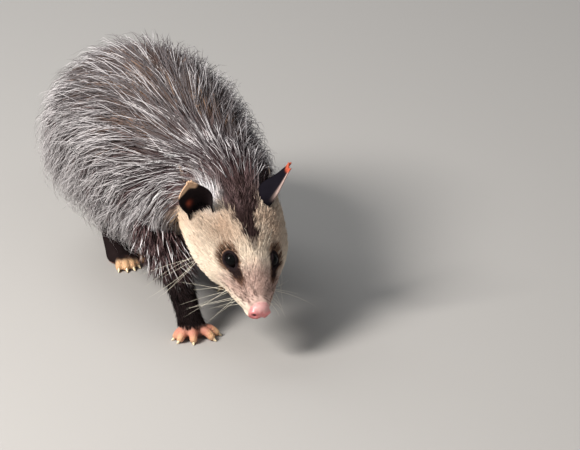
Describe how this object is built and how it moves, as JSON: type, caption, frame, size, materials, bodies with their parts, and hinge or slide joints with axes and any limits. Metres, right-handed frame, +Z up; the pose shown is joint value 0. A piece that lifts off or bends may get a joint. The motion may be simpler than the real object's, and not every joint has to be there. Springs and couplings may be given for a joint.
{
  "type": "opossum",
  "caption": "Still, life-size Virginia opossum in mid-step with its head low, its long coat built as overlapping tapered locks.",
  "frame": {"origin": "middle of the bounding box in X and Y, on the floor that the feet stand on", "axes": "+Z up; the animal faces -Y along its length, and its left side is +X"},
  "size_m": [0.238, 0.5188, 0.1802],
  "materials": {
    "face_fur": "short cream face fur",
    "nose_skin": "moist bare pink skin",
    "eye": "wet black eye",
    "ear_skin": "thin bare black skin with pale edge",
    "coat": "long coarse fur, dark brown-grey with white-tipped guard hairs",
    "leg_fur": "short near-black fur",
    "foot_skin": "bare pink-orange skin",
    "tail_dark": "dark scaly skin",
    "tail_skin": "pale pinkish scaly skin"
  },
  "bodies": {
    "root": {"head": "face_fur", "nose": "nose_skin", "eye_left": "eye", "eye_right": "eye", "ear_left": "ear_skin", "ear_right": "ear_skin", "neck": "coat", "torso": "coat", "fore_leg_left": "leg_fur", "fore_leg_right": "leg_fur", "hind_leg_left": "leg_fur", "hind_leg_right": "leg_fur", "fore_foot_left": "foot_skin", "fore_foot_right": "foot_skin", "hind_foot_left": "foot_skin", "hind_foot_right": "foot_skin", "tail_base": "tail_dark", "tail_middle": "tail_skin", "tail_tip": "tail_skin"}
  },
  "joints": []
}
